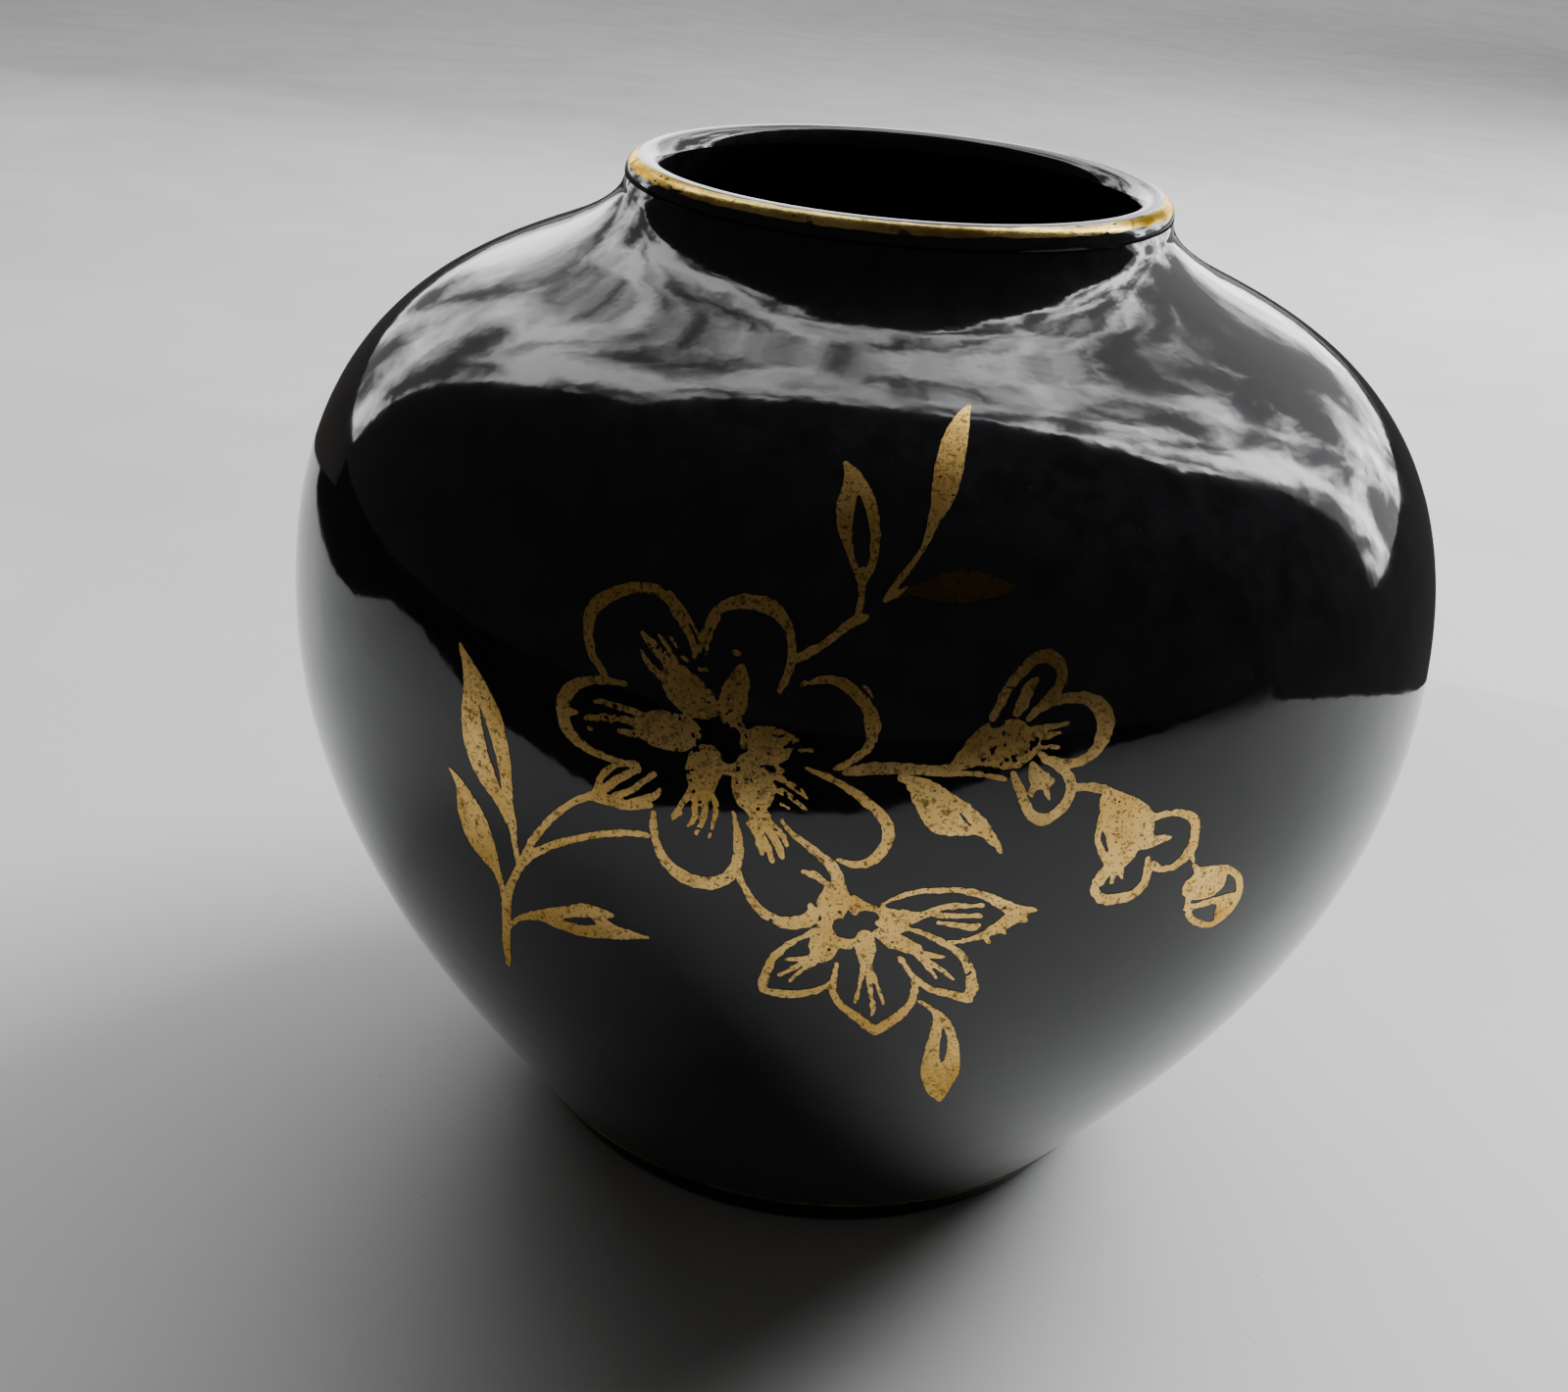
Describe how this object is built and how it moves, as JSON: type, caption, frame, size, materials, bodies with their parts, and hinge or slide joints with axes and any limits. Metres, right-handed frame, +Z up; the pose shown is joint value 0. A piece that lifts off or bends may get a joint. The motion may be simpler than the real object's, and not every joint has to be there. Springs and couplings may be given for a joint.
{
  "type": "small vase",
  "caption": "Small squat round vase with a wide belly, short neck, rounded lip and low foot ring, black glazed with gilded lip and a gold flower spray on one side.",
  "frame": {"origin": "centre of the foot ring, on the surface that the vase stands on", "axes": "+Z up along the axis of the turned body; the gold flower spray faces -Y, and +X is to its right"},
  "size_m": [0.106, 0.1061, 0.0935],
  "materials": {
    "bare_porcelain": "matte unglazed",
    "black_glaze": "high gloss",
    "rim_gold": "polished, rubbed",
    "transfer_gold": "satin, speckled"
  },
  "bodies": {
    "root": {"porcelain_body": "bare_porcelain", "outer_glaze": "black_glaze", "inner_glaze": "black_glaze", "base_glaze": "black_glaze", "rim_gilding": "rim_gold", "foot_gilding": "rim_gold", "leaf_spray": "transfer_gold", "main_blossom": "transfer_gold", "main_blossom_heart": "transfer_gold", "upper_leaves": "transfer_gold", "side_blossom": "transfer_gold", "side_blossom_calyx": "transfer_gold", "drooping_leaf": "transfer_gold", "bud_blossom": "transfer_gold", "round_bud": "transfer_gold", "lower_blossom": "transfer_gold", "hanging_leaf": "transfer_gold"}
  },
  "joints": []
}
